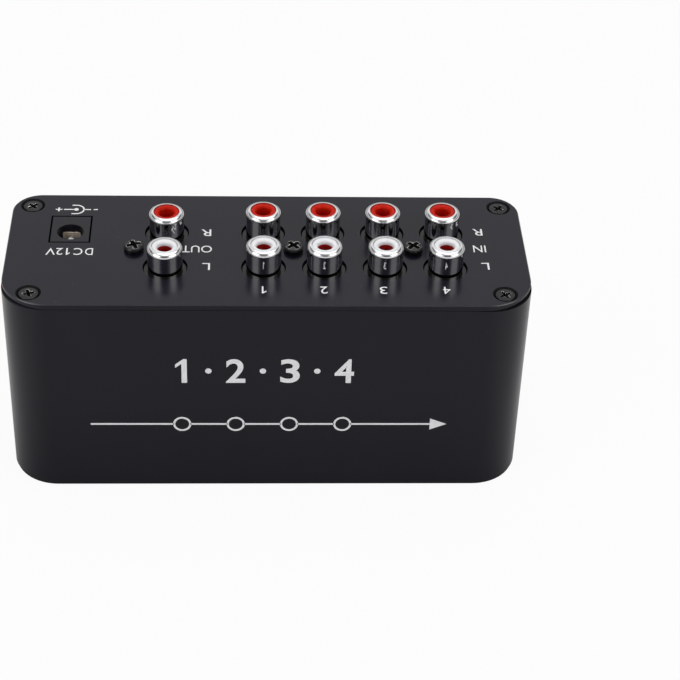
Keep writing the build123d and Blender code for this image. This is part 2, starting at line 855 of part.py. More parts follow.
def case_nodes():
    return {
        "case_sleeve": case_sleeve(),
        "rear_plate": rear_plate(),
        "front_plate": front_plate(),
        "rear_plate_screws": rear_plate_screws(),
        "front_plate_screws": front_plate_screws(),
        "jack_block_screws": jack_block_screws(),
        "feet": feet(),
    }


def jack_nodes():
    output = (x_output_low, x_output_high, [x_output])
    inputs = (x_input_low, x_input_high, x_columns)
    nodes = {
        "output_jack_block": jack_block(*output, output_screw_xs),
        "input_jack_block": jack_block(*inputs, input_screw_xs),
        "output_ground_plate": ground_plate(*output, output_tab_xs),
        "input_ground_plate": ground_plate(*inputs, input_tab_xs),
        "jack_cores": group(jack_core(x, y, rims[name]) for name, x in columns.items()
                            for y, _ in rows.values()),
        "jack_contacts": group(jack_contact(x, y, z) for x in columns.values() for y, z in rows.values()),
    }
    for column, x in columns.items():
        for row, (y, _) in rows.items():
            nodes[f"{column}_{row}_shell"] = jack_shell(x, y, rims[column])
            nodes[f"{column}_{row}_ring"] = jack_ring(x, y, rims[column])
    return nodes


def inlet_nodes():
    return {
        "inlet_body": inlet_body(),
        "inlet_pin": inlet_pin(),
        "inlet_leaf": inlet_leaf(),
        "inlet_terminal": inlet_terminal(0),
    }


def relay_nodes():
    relays = [relay_contents(x) for x in x_columns]
    nodes = {
        "relay_bases": group(relay["base"] for relay in relays),
        "relay_covers": group(relay["cover"] for relay in relays),
        "relay_coils": group(relay["coil"] for relay in relays),
        "relay_yokes": group(relay["yoke"] for relay in relays),
        "relay_contact_posts": group(post for relay in relays for post in relay["posts"]),
        "relay_pins": group(pin for relay in relays for pin in relay["pins"]),
    }
    for n, relay in enumerate(relays):
        nodes[f"relay_{n + 1}_armature"] = relay["armature"]
    return nodes


def board_nodes():
    return {
        "main_board": main_board(),
        "control_board": control_board(),
        "board_header": board_header(),
        "header_pins": header_pin_group(),
        "filter_capacitors": filter_capacitors(),
        "voltage_regulator": voltage_regulator(),
        "controller_chip": controller_chip(),
    }


def control_nodes():
    return {
        "indicator_lights": indicator_lights(),
        "ir_window": ir_window(),
        "ir_receiver": ir_receiver(),
        "select_button": select_button(),
        "switch_plunger": switch_plunger(),
        "select_switch": select_switch(),
    }


os.makedirs("parts", exist_ok=True)
for make_nodes in (case_nodes, jack_nodes, inlet_nodes, relay_nodes, board_nodes, control_nodes):
    for node, shape in make_nodes().items():
        export_step(shape, f"parts/{node}.step")
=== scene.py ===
import json
import math

import bmesh
import bpy
from mathutils import Matrix, Vector


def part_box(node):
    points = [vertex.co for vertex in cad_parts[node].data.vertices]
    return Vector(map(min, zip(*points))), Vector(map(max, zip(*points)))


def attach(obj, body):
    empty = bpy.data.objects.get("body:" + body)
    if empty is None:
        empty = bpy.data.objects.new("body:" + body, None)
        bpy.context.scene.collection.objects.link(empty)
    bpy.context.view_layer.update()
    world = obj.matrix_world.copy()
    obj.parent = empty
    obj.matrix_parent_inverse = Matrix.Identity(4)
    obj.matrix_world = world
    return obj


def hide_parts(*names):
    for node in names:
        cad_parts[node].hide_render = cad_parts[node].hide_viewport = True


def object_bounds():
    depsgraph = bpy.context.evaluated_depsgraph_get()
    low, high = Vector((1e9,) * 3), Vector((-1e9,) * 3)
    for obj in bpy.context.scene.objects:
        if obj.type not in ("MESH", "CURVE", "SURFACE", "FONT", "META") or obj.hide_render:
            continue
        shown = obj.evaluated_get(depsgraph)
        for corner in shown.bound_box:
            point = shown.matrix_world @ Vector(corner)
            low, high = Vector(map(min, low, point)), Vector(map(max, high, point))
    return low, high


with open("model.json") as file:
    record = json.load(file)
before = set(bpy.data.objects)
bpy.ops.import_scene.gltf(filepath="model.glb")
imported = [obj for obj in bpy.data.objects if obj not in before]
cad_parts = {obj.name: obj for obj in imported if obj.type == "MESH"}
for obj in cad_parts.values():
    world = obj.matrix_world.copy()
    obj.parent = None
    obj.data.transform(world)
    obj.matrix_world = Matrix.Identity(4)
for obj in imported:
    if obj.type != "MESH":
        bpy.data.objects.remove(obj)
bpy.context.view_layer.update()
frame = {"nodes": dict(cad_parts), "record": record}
nodes = frame["nodes"]
scene = bpy.context.scene
scene.view_settings.view_transform = "Standard"

# Sizes are in mm and turned into metres with this
mm = 0.001

# Camera, as the photograph was taken
camera_place = Vector((-5.527, -377.285, 318.765)) * mm
camera_pitch = math.radians(37.668)
camera_yaw = math.radians(-3.55)
camera_roll = math.radians(-2.3)
focal_pixels = 1960.0
image_pixels = 680
sensor_width = 36.0
camera_clip = (0.01, 20.0)

# Meshes: how close points are merged, the angle past which an edge is sharp, steps round turned
# pieces, and how far small solids of one node reach
merge_reach = 0.0005
sharp_angle = math.radians(35)
turned_steps = 72
screw_steps = 40
solid_reach = 6

# Finishes: the noise of their grain and drift, softened edges, dust, patches worn to bare metal
grain_detail = 3.0
grain_roughness = 0.55
grain_range = (0.3, 0.7)
edge_samples = 6
edge_range = (0.995, 0.75)
dust_spacing = 3.7
dust_grey = (110, 110, 112)
bare_range = (0.44, 0.56)
bare_share = (0.1, 1.0)

# Faces that lie level or stand upright, by how far their normal is tilted up
level_tilt = 0.9
upright_tilt = 0.3

# Sawn ends of the case: where their straight run stops, and how soon past it, on the +X side, they
# are painted near black, a painted shade in the joint's gap
end_straight = 46
end_fade = 3

# Jack shells: barrel, rolled rim and the stepped neck inside the plate
barrel_radius = 4.06
rim_radius = 4.19
rim_round = 1.06
rim_under_round = 0.22
bore_radius = 3.05
neck_radius = 3.5
seat_radius = 3.9
seat_depth = 1.0
plate_thickness = 1.5
rim_steps = 16
rim_under_steps = 5
rim_under_start = -66

# Insulator rings in the jacks' mouths
ring_drop = 0.12
ring_radius = 3.0
ring_edge = 0.3
ring_length = 2.45
ring_lip = 1.18
ring_hole = 1.76
ring_entry = 0.7
ring_socket = 2.46
ring_entry_steps = 10
ring_edge_steps = 6

# Screws: cross recess, countersunk corner heads, round pan heads
recess_floor_share = 0.65
recess_rim_share = 0.25
wear_reach = 0.15
corner_worn = 2.2
pan_worn = 4.0
corner_head_radius = 2.3
corner_head_height = 0.9
corner_head_crown = 0.4
corner_head_edge = 0.16
corner_edge_steps = 4
corner_recess = (2.7, 0.8, 1.0)
corner_shank_radius = 1.4
pan_head_radius = 2.34
pan_head_height = 1.55
pan_head_round = 0.62
pan_round_start = 80
pan_round_steps = 6
pan_dome = 0.12
pan_recess = (3.6, 1.0, 1.1)
pan_shank_radius = 1.25
corner_turns = {(-1, -1): 16.0, (-1, 1): 41.0, (1, -1): 31.0, (1, 1): 48.0}
pan_turns = (22.0, 40.0, 47.0)

# Holes of the end plates, whose walls are painted near black as a painted shade: reach of a corner
# screw's hole, depth of the plate's own edge
corner_hole_reach = 3.4
plate_edge_depth = 3.2

# Gap round the power inlet's face
inlet_gap_reach = 0.5
inlet_gap_extra = 0.2

# Print on the jack plate: sign, centre across and along the plate, width
print_thickness = 0.02
cap_height = 2.7
plate_signs = (
    ("D", -41.63, -1.5, 1.8),
    ("C", -44.17, -1.5, 2.05),
    ("1", -46.5, -1.5, 0.9),
    ("2", -48.5, -1.5, 1.55),
    ("V", -50.55, -1.5, 2.2),
    ("R", -14.45, 6.45, 2.3),
    ("OUT", -16.6, -0.3, 7.1),
    ("L", -14.3, -7.3, 1.8),
    ("R", 50.15, 7.2, 2.3),
    ("IN", 50.0, 0.3, 3.0),
    ("L", 50.75, -6.75, 1.8),
    ("1", -0.92, -16.35, 1.05),
    ("2", 12.75, -16.35, 1.7),
    ("3", 26.4, -16.35, 1.7),
    ("4", 40.95, -16.35, 1.75),
)
polarity_line = 0.36
polarity_y = 16.0
polarity_cross = 1.6
polarity_cross_x = -49.87
polarity_dot = 0.55
polarity_dot_x = -45.72
polarity_ring = 1.8
polarity_ring_lead = 1.05
polarity_left_lead = (-48.7, -46.2)
polarity_right_lead = (-43.9, -42.26)
polarity_dash = (-41.6, -40.6)
polarity_ring_steps = 24
dot_steps = 24
contact_steps = 36

# The number one: stem, broader for heavy print, and flag as shares of its height, head of the stem
one_stem = 0.135
one_stem_gain = 2.5
one_flag = (0.23, 0.37, 0.2)
one_head = 0.65

# Print on the broad face: big numbers over a row of contacts on a signal line
big_number_height = 7.0
big_number_width = 4.5
big_one_width = 2.7
big_number_z = 35.2
big_number_x = (-20.0, -7.4, 5.2, 17.8)
big_dot = 0.75
big_number_weight = 0.018
signal_z = 19.2
signal_ends = (-41.5, 42.6)
signal_line = 0.5
contact_ring = 1.9
arrow_length = 4.0
arrow_width = 3.4

# Print on the front plate: a number beside each light
light_number_height = 2.4
light_number_width = 1.5
light_one_width = 0.95
light_number_y = -6.0

# Floor: size in metres, colour, how white it looks to the camera, in mirrors, and in mirrors at the
# sides, a painted light; how far before the broad face it stays dim in mirrors, a painted shadow,
# and how far out its bright sides are
floor_size = 6.0
floor_grey = (228, 228, 228)
floor_white_share = 0.94
floor_mirror_share = 0.13
floor_painted_light_share = 0.6
floor_painted_shadow = (16.0, 44.0)
floor_painted_light_reach = (58.0, 85.0)

# Room: how much it lights, and where it is shaded in mirrors, each as a share and ramps from none
# to full along the way out: X to either side, Y to the back, Z up
pure_white = (1, 1, 1, 1)
room_fill = 0.58
room_grey = (64, 64, 66)
room_shades = {
    "low_sides_and_back": (0.85, (("Z", 0.5, 0.05), ("Y", -0.6, -0.1))),
    "camera": (1.0, (("Z", 0.16, 0.24), ("Z", 0.7, 0.6), ("Y", -0.3, -0.5), ("X", 0.45, 0.25))),
    "beside": (0.9, (("Z", 0.42, 0.52), ("Z", 0.8, 0.7), ("Y", -0.15, 0.05), ("X", 0.35, 0.5))),
    "over_lamps": (0.8, (("Z", 0.7, 0.76), ("Z", 0.95, 0.9), ("Y", -0.1, -0.3))),
}

# Lamps, in metres and watts: place, size, power
lamp_aim = (0, 0, 0.03)
lamps = {
    "top_softbox": ((0.05, 0.15, 0.75), 0.6, 1.5),
    "left_softbox": ((-0.52, -0.36, 0.48), 0.45, 1.5),
    "right_softbox": ((0.52, -0.36, 0.48), 0.45, 1.4),
}


def linear(red, green, blue):
    """A colour as it reads on screen, 0 to 255, as the shader's linear values."""
    def one(value):
        share = value / 255
        return share / 12.92 if share <= 0.04045 else ((share + 0.055) / 1.055) ** 2.4
    return one(red), one(green), one(blue), 1.0


def feed(tree, socket, value):
    """Links a socket to another, or sets it to a plain value."""
    if isinstance(value, bpy.types.NodeSocket):
        tree.links.new(value, socket)
    else:
        socket.default_value = value


def add(tree, kind, settings=None, inputs=None):
    """A node of that kind, with its settings set and its inputs fed by name or number."""
    made = tree.nodes.new(kind)
    for name, value in (settings or {}).items():
        setattr(made, name, value)
    for name, value in (inputs or {}).items():
        feed(tree, made.inputs[name], value)
    return made


def calculate(tree, operation, first, second=0.0):
    """A sum on two values."""
    return add(tree, "ShaderNodeMath", {"operation": operation}, {0: first, 1: second}).outputs[0]


def ranged(tree, value, before, after):
    """A value carried from one range to another and held within it."""
    limits = dict(zip(("From Min", "From Max", "To Min", "To Max"), (*before, *after)))
    carried = add(tree, "ShaderNodeMapRange", {"clamp": True}, {"Value": value, **limits})
    return carried.outputs["Result"]


def blended(tree, share, low, high):
    """A colour that goes from low to high with a mask."""
    mix = add(tree, "ShaderNodeMix", {"data_type": "RGBA", "clamp_factor": True},
              {0: share, 6: low, 7: high})
    return mix.outputs[2]


# Effects that several finishes share


def new_group(name, inputs, outputs):
    """An empty shader group with those named sockets, and its two ends."""
    tree = bpy.data.node_groups.new(name, "ShaderNodeTree")
    for title, kind, value in inputs:
        tree.interface.new_socket(title, in_out="INPUT", socket_type=kind).default_value = value
    for title, kind in outputs:
        tree.interface.new_socket(title, in_out="OUTPUT", socket_type=kind)
    return tree, tree.nodes.new("NodeGroupInput"), tree.nodes.new("NodeGroupOutput")


def make_grain():
    """Soft noise at a given size, stretched along the way the surface was drawn."""
    tree, start, end = new_group(
        "surface_grain",
        (("Size", "NodeSocketFloat", 0.001), ("Stretch", "NodeSocketVector", (1, 1, 1))),
        (("Grain", "NodeSocketFloat"),),
    )
    place = add(tree, "ShaderNodeTexCoord").outputs["Object"]
    drawn = add(tree, "ShaderNodeVectorMath", {"operation": "MULTIPLY"},
                {0: place, 1: start.outputs["Stretch"]}).outputs[0]
    scale = calculate(tree, "DIVIDE", 1.0, start.outputs["Size"])
    noise = add(tree, "ShaderNodeTexNoise", None, {"Vector": drawn, "Scale": scale,
                                                   "Detail": grain_detail,
                                                   "Roughness": grain_roughness})
    feed(tree, end.inputs["Grain"], noise.outputs[0])
    return tree


def make_edge():
    """Softened edges: the rounded normal, and a mask that is high along an edge."""
    tree, start, end = new_group(
        "worn_edge",
        (("Radius", "NodeSocketFloat", 0.0002),),
        (("Edge", "NodeSocketFloat"), ("Normal", "NodeSocketVector")),
    )
    soft = add(tree, "ShaderNodeBevel", {"samples": edge_samples},
               {"Radius": start.outputs["Radius"]}).outputs[0]
    hard = add(tree, "ShaderNodeNewGeometry").outputs["Normal"]
    turn = add(tree, "ShaderNodeVectorMath", {"operation": "DOT_PRODUCT"}, {0: soft, 1: hard})
    feed(tree, end.inputs["Edge"], ranged(tree, turn.outputs["Value"], edge_range, (0.0, 1.0)))
    feed(tree, end.inputs["Normal"], soft)
    return tree


def make_dust():
    """Scattered specks of dust, a mask."""
    tree, start, end = new_group(
        "dust_specks",
        (("Spacing", "NodeSocketFloat", 0.004), ("Share", "NodeSocketFloat", 0.05)),
        (("Dust", "NodeSocketFloat"),),
    )
    place = add(tree, "ShaderNodeTexCoord").outputs["Object"]
    scale = calculate(tree, "DIVIDE", 1.0, start.outputs["Spacing"])
    cells = add(tree, "ShaderNodeTexVoronoi", None, {"Vector": place, "Scale": scale})
    near = calculate(tree, "LESS_THAN", cells.outputs["Distance"], start.outputs["Share"])
    feed(tree, end.inputs["Dust"], near)
    return tree


grain_group = make_grain()
edge_group = make_edge()
dust_group = make_dust()


def effect(tree, group, **inputs):
    """One of the shared effects, placed in a finish with its own values."""
    return add(tree, "ShaderNodeGroup", {"node_tree": group}, inputs).outputs


# Finishes


def finish(name, low, high, rough, fine=0.4, broad=9.0, relief=0.0, stretch=(1, 1, 1),
           edge=0.0, edge_colour=None, bare_where=None, dust=0.0, **constants):
    """A finish whose colour drifts from low to high, with grain in its sheen and height.
    Fine and broad are the sizes of grain and drift, edge is the softened edge's radius,
    bare_where the attribute that says how far edges are worn to bare metal, dust the specks' share,
    constants the shader's own sockets."""
    material = bpy.data.materials.new(name)
    material.use_nodes = True
    tree = material.node_tree
    shader = tree.nodes["Principled BSDF"]
    for title, value in constants.items():
        shader.inputs[title.replace("_", " ")].default_value = value
    drift = effect(tree, grain_group, Size=broad * mm, Stretch=stretch)["Grain"]
    grain = effect(tree, grain_group, Size=fine * mm, Stretch=stretch)["Grain"]
    colour = blended(tree, ranged(tree, drift, grain_range, (0.0, 1.0)), low, high)
    normal = None
    if dust:
        specks = effect(tree, dust_group, Spacing=dust_spacing * mm, Share=dust)["Dust"]
        colour = blended(tree, specks, colour, linear(*dust_grey))
    if edge:
        worn = effect(tree, edge_group, Radius=edge * mm)
        normal = worn["Normal"]
        mask = worn["Edge"]
        if bare_where:
            reach = add(tree, "ShaderNodeAttribute", {"attribute_name": bare_where}).outputs["Fac"]
            patches = ranged(tree, drift, bare_range, bare_share)
            mask = calculate(tree, "MULTIPLY", mask, calculate(tree, "MULTIPLY", reach, patches))
            mask = calculate(tree, "MINIMUM", mask, 1.0)
            feed(tree, shader.inputs["Metallic"], mask)
        if edge_colour:
            colour = blended(tree, mask, colour, edge_colour)
    feed(tree, shader.inputs["Base Color"], colour)
    feed(tree, shader.inputs["Roughness"], ranged(tree, grain, grain_range, rough))
    if relief:
        bump = add(tree, "ShaderNodeBump", None, {"Distance": relief * mm, "Height": grain})
        if normal:
            feed(tree, bump.inputs["Normal"], normal)
        normal = bump.outputs["Normal"]
    if normal:
        feed(tree, shader.inputs["Normal"], normal)
    return material


def repaint(material, mask, colour):
    """Paints a finish over with a dull colour where a mask is high."""
    tree = material.node_tree
    shader = tree.nodes["Principled BSDF"]
    drawn = shader.inputs["Base Color"].links[0].from_socket
    feed(tree, shader.inputs["Base Color"], blended(tree, mask, drawn, colour))
    sheen = shader.inputs["Roughness"].links[0].from_socket
    feed(tree, shader.inputs["Roughness"], calculate(tree, "MAXIMUM", sheen, mask))


def shade_ends(material, colour, gap_shade_colour):
    """Leaves the sawn ends dull: painted lighter on the straight run to lift the joint's shade
    (painted light), and painted near black past it on the +X side, a painted shade in the gap.
    """
    tree = material.node_tree
    facing = add(tree, "ShaderNodeNewGeometry").outputs["True Normal"]
    up = add(tree, "ShaderNodeSeparateXYZ", None, {0: facing}).outputs["Z"]
    sawn = calculate(tree, "GREATER_THAN", calculate(tree, "ABSOLUTE", up), level_tilt)
    place = add(tree, "ShaderNodeTexCoord").outputs["Object"]
    across = add(tree, "ShaderNodeSeparateXYZ", None, {0: place}).outputs["X"]
    past = ranged(tree, across, (end_straight * mm, (end_straight + end_fade) * mm), (0.0, 1.0))
    repaint(material, sawn, blended(tree, past, colour, gap_shade_colour))


def darken_recess(material, colour):
    """Paints the recess of a screw, marked on its mesh, dull and near black: a painted shade."""
    marked = add(material.node_tree, "ShaderNodeAttribute", {"attribute_name": "recess"})
    repaint(material, marked.outputs["Fac"], colour)


def brighten_far_row(material, colour):
    """Gives what stands in the far row of jacks, past the plate's middle, a brighter colour:
    painted light inside those holes.
    """
    tree = material.node_tree
    shader = tree.nodes["Principled BSDF"]
    place = add(tree, "ShaderNodeTexCoord").outputs["Object"]
    along = add(tree, "ShaderNodeSeparateXYZ", None, {0: place}).outputs["Y"]
    drawn = shader.inputs["Base Color"].links[0].from_socket
    far = calculate(tree, "GREATER_THAN", along, 0.0)
    feed(tree, shader.inputs["Base Color"], blended(tree, far, drawn, colour))


plate_black = finish("anodised_plate", linear(15, 14, 27), linear(18, 17, 30), (0.2, 0.26),
                     fine=0.12, broad=14.0, relief=0.001, dust=0.022, Specular_IOR_Level=0.24)
# Chamfers of the end plates, lighter than the plate: a painted highlight along their edges
chamfer_painted_highlight = finish("plate_cut_edge", linear(36, 35, 41), linear(46, 45, 52), (0.25, 0.35),
                  fine=0.3, broad=9.0, relief=0.001, Specular_IOR_Level=0.55)
sleeve_black = finish("anodised_sleeve", linear(15, 14, 23), linear(18, 17, 27), (0.2, 0.27),
                      fine=0.15, broad=10.0, relief=0.0015, stretch=(1, 1, 0.12), dust=0.018,
                      Specular_IOR_Level=0.235)
# Sawn ends: a lighter grey that hides the joint's shade line (painted light), and near black at the
# +X corners (painted shade in the gap)
shade_ends(sleeve_black, linear(46, 46, 49), linear(4, 4, 4))
# Walls of the plates' holes: near black, a painted shade round the screw heads, the jacks and the
# inlet
hole_wall_painted_shade = finish("plate_hole_wall", linear(6, 6, 7), linear(9, 9, 10), (0.5, 0.65),
                    fine=0.2, broad=2.0, relief=0.002, Specular_IOR_Level=0.12)
screw_black = finish("blackened_steel", linear(9, 9, 13), linear(18, 17, 22), (0.16, 0.3),
                     fine=0.25, broad=1.6, relief=0.006, edge=0.3,
                     edge_colour=linear(214, 212, 209), bare_where="wear", Specular_IOR_Level=0.3)
pan_black = finish("driven_steel", linear(9, 9, 12), linear(24, 23, 27), (0.1, 0.22),
                   fine=0.25, broad=0.9, relief=0.015, edge=0.42,
                   edge_colour=linear(236, 234, 231), bare_where="wear", Specular_IOR_Level=0.35)
# Screw recesses painted near black, a painted shade
for steel in (screw_black, pan_black):
    darken_recess(steel, linear(4, 4, 4))
# Black plastic made near black, partly a painted shade for the gap round each barrel
collar_black_and_gap_shade = finish("block_collar", linear(4, 4, 5), linear(6, 6, 7), (0.16, 0.24),
                      fine=0.15, broad=4.0, relief=0.001, Specular_IOR_Level=0.32)
# Edges of the inlet moulding painted near black: a painted shade along the gap round its face
inlet_black = finish("inlet_moulding", linear(15, 14, 24), linear(19, 18, 28), (0.3, 0.4),
                     fine=0.12, broad=4.0, relief=0.0015, edge=0.18, edge_colour=linear(5, 5, 6),
                     Specular_IOR_Level=0.27)
plastic_red = finish("moulded_red", linear(188, 25, 6), linear(202, 32, 8), (0.28, 0.38),
                     fine=0.3, broad=3.0, relief=0.001, Specular_IOR_Level=0.1,
                     Subsurface_Weight=0.8, Subsurface_Radius=(1.0, 0.12, 0.06),
                     Subsurface_Scale=1.5 * mm)
plastic_white = finish("moulded_white", linear(243, 242, 246), linear(249, 248, 252), (0.24, 0.34),
                       fine=0.3, broad=3.0, relief=0.001, Specular_IOR_Level=0.3,
                       Subsurface_Weight=0.4, Subsurface_Radius=(1.0, 0.9, 0.85),
                       Subsurface_Scale=mm)
plastic_dark_red = finish("moulded_dark_red", linear(150, 24, 23), linear(168, 33, 30), (0.2, 0.3),
                          fine=0.3, broad=2.0, relief=0.001, Specular_IOR_Level=0.5)
# Cores in the far row painted brighter: painted light in their holes
brighten_far_row(plastic_dark_red, linear(192, 22, 9))
nickel = finish("bright_nickel", linear(212, 212, 213), linear(226, 226, 227), (0.05, 0.1),
                fine=0.6, broad=3.0, relief=0.0008, stretch=(1, 1, 4), Metallic=1.0)
# Brass colour, but pale and hardly metallic: partly painted light that keeps the contact leaf in
# the inlet's shaded mouth bright
brass = finish("spring_brass", linear(186, 154, 124), linear(250, 240, 224), (0.4, 0.55),
               fine=0.3, broad=0.8, relief=0.002, stretch=(1, 1, 0.2), edge=0.06, Metallic=0.1)
tin = finish("tin_plate", linear(190, 190, 190), linear(205, 205, 204), (0.25, 0.4),
             fine=0.4, broad=3.0, relief=0.002, Metallic=1.0)
iron = finish("soft_iron", linear(120, 118, 115), linear(140, 138, 134), (0.3, 0.45),
              fine=0.3, broad=3.0, relief=0.002, Metallic=1.0)
copper = finish("enamelled_wire", linear(150, 72, 36), linear(184, 98, 52), (0.25, 0.4),
                fine=0.08, broad=0.5, relief=0.01, stretch=(0.1, 1, 1), Metallic=0.8)
board_green = finish("board_lacquer", linear(14, 66, 40), linear(20, 82, 50), (0.25, 0.4),
                     fine=0.4, broad=2.4, relief=0.004, Specular_IOR_Level=0.5)
relay_dark = finish("relay_cover", linear(56, 56, 62), linear(68, 68, 75), (0.3, 0.4),
                    fine=0.3, broad=4.0, relief=0.002, edge=0.1, Specular_IOR_Level=0.5)
sleeve_film = finish("capacitor_film", linear(26, 30, 52), linear(32, 38, 64), (0.25, 0.38),
                     fine=0.4, broad=3.0, relief=0.002, Specular_IOR_Level=0.5)
lens_clear = finish("light_lens", linear(214, 222, 228), linear(230, 236, 242), (0.08, 0.16),
                    fine=0.4, broad=2.0, relief=0.001, Specular_IOR_Level=0.5,
                    Transmission_Weight=0.35)
window_red = finish("infrared_window", linear(78, 14, 20), linear(92, 19, 27), (0.06, 0.12),
                    fine=0.4, broad=4.0, relief=0.001, Specular_IOR_Level=0.5)
button_grey = finish("button_grey", linear(62, 62, 66), linear(74, 74, 78), (0.35, 0.45),
                     fine=0.2, broad=3.0, relief=0.002, edge=0.1, Specular_IOR_Level=0.5)
rubber = finish("foot_rubber", linear(22, 22, 22), linear(30, 30, 30), (0.65, 0.8),
                fine=0.2, broad=2.0, relief=0.006, edge=0.1, Specular_IOR_Level=0.3)
ink_white = finish("white_ink", linear(240, 240, 240), linear(250, 250, 250), (0.4, 0.55),
                   fine=0.15, broad=1.0, relief=0.001, Specular_IOR_Level=0.3)
ink_silver = finish("silver_ink", linear(232, 232, 234), linear(243, 243, 245), (0.4, 0.55),
                    fine=0.15, broad=1.5, relief=0.001, Specular_IOR_Level=0.3)

slot_finish = {
    "black_aluminium": plate_black,
    "black_screws": screw_black,
    "rubber": rubber,
    "black_plastic": collar_black_and_gap_shade,
    "dark_red_plastic": plastic_dark_red,
    "brass": brass,
    "tin_plate": tin,
    "board": board_green,
    "relay_cover": relay_dark,
    "copper_wire": copper,
    "iron": iron,
    "capacitor_sleeve": sleeve_film,
    "light_lens": lens_clear,
    "window_red": window_red,
    "button_grey": button_grey,
    "nickel": nickel,
    "red_plastic": plastic_red,
    "white_plastic": plastic_white,
}
node_finish = {"case_sleeve": sleeve_black, "inlet_body": inlet_black}

for part in frame["record"]["subparts"]:
    mesh = nodes[part["node"]].data
    mesh.materials.clear()
    mesh.materials.append(node_finish.get(part["node"], slot_finish[part["material_slot"]]))


# Making pieces


def into_scene(name, mesh, body):
    """A finished mesh as a piece that rides on a body."""
    piece = bpy.data.objects.new(name, mesh)
    scene.collection.objects.link(piece)
    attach(piece, body)
    return piece


def plain_mesh(name, made):
    """A bmesh closed, turned outwards, smooth apart from its sharp edges."""
    bmesh.ops.remove_doubles(made, verts=made.verts, dist=merge_reach * mm)
    bmesh.ops.recalc_face_normals(made, faces=made.faces)
    mesh = bpy.data.meshes.new(name)
    made.to_mesh(mesh)
    made.free()
    mesh.shade_smooth()
    mesh.set_sharp_from_angle(angle=sharp_angle)
    return mesh


def holder(mesh):
    """A passing object that holds a mesh while it is worked on."""
    made = bpy.data.objects.new(mesh.name, mesh)
    scene.collection.objects.link(made)
    return made


def worked_mesh(made):
    """What an object's modifiers make of it, as a plain mesh. The object is removed."""
    bpy.context.view_layer.update()
    worked = made.evaluated_get(bpy.context.evaluated_depsgraph_get())
    mesh = bpy.data.meshes.new_from_object(worked)
    bpy.data.objects.remove(made)
    return mesh


def arc(centre, radius, start, stop, steps):
    """Points along an arc, angles in degrees."""
    angles = [math.radians(start + (stop - start) * step / steps) for step in range(steps + 1)]
    return [(centre[0] + radius * math.cos(a), centre[1] + radius * math.sin(a)) for a in angles]


def circle(centre, radius, count):
    """Points round a whole circle."""
    return arc(centre, radius, 0, 360 - 360 / count, count - 1)


def cross_plan(arm, half):
    """Corners of a cross, from the reach of its arms and half their width."""
    return [(arm, half), (half, half), (half, arm), (-half, arm), (-half, half), (-arm, half),
            (-arm, -half), (-half, -half), (-half, -arm), (half, -arm), (half, -half), (arm, -half)]


def turned(name, outline, steps):
    """A closed outline of radius and height turned round the Z axis."""
    made = bmesh.new()
    rings = []
    for step in range(steps):
        spin = Matrix.Rotation(2 * math.pi * step / steps, 3, "Z")
        rings.append([made.verts.new(spin @ Vector((r, 0, z)) * mm) for r, z in outline])
    for ring, after in zip(rings, rings[1:] + rings[:1]):
        for here in range(len(outline)):
            corner = (here + 1) % len(outline)
            sides = {ring[here], ring[corner], after[corner], after[here]}
            if len({tuple(round(c, 9) for c in v.co) for v in sides}) > 2:
                made.faces.new((ring[here], ring[corner], after[corner], after[here]))
    return plain_mesh(name, made)


def cut_out(body, cutter):
    """The first mesh with the second taken out of it."""
    left, right = holder(body), holder(cutter)
    cut = left.modifiers.new("cut", "BOOLEAN")
    cut.operation = "DIFFERENCE"
    cut.solver = "EXACT"
    cut.object = right
    mesh = worked_mesh(left)
    bpy.data.objects.remove(right)
    mesh.set_sharp_from_angle(angle=sharp_angle)
    return mesh


def make_placing_tree():
    """Sets a piece on each point of a mesh, turned by the point's own angles."""
    tree = bpy.data.node_groups.new("set_on_places", "GeometryNodeTree")
    for title, kind in (("Places", "Geometry"), ("Piece", "Object"), ("Finish", "Material")):
        tree.interface.new_socket(title, in_out="INPUT", socket_type="NodeSocket" + kind)
    tree.interface.new_socket("Pieces", in_out="OUTPUT", socket_type="NodeSocketGeometry")
    start = tree.nodes.new("NodeGroupInput")
    end = tree.nodes.new("NodeGroupOutput")
    piece = add(tree, "GeometryNodeObjectInfo", None,
                {"Object": start.outputs["Piece"], "As Instance": True}).outputs["Geometry"]
    turn = add(tree, "GeometryNodeInputNamedAttribute", {"data_type": "FLOAT_VECTOR"},
               {"Name": "turn"}).outputs["Attribute"]
    spin = add(tree, "FunctionNodeEulerToRotation", None, {0: turn}).outputs[0]
    placed = add(tree, "GeometryNodeInstanceOnPoints", None,
                 {"Points": start.outputs["Places"], "Instance": piece, "Rotation": spin})
    real = add(tree, "GeometryNodeRealizeInstances", None, {0: placed.outputs[0]}).outputs[0]
    painted = add(tree, "GeometryNodeSetMaterial", None,
                  {"Geometry": real, "Material": start.outputs["Finish"]}).outputs[0]
    feed(tree, end.inputs["Pieces"], painted)
    return tree


placing_tree = make_placing_tree()


def set_on_places(name, mesh, places, made_of):
    """A mesh repeated at places, each a point in metres and its angles, as one plain mesh."""
    pattern = holder(mesh)
    points = bpy.data.meshes.new(name + "_places")
    points.from_pydata([place for place, _ in places], [], [])
    turn = points.attributes.new("turn", "FLOAT_VECTOR", "POINT")
    for point, (_, angles) in zip(turn.data, places):
        point.vector = angles
    carrier = holder(points)
    spread = carrier.modifiers.new("places", "NODES")
    spread.node_group = placing_tree
    sockets = {item.name: item.identifier for item in placing_tree.interface.items_tree
               if item.in_out == "INPUT"}
    spread[sockets["Piece"]] = pattern
    spread[sockets["Finish"]] = made_of
    made = worked_mesh(carrier)
    bpy.data.objects.remove(pattern)
    made.name = name
    return made


def centre_of(node):
    """Middle of a node's box."""
    low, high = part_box(node)
    return (low + high) / 2


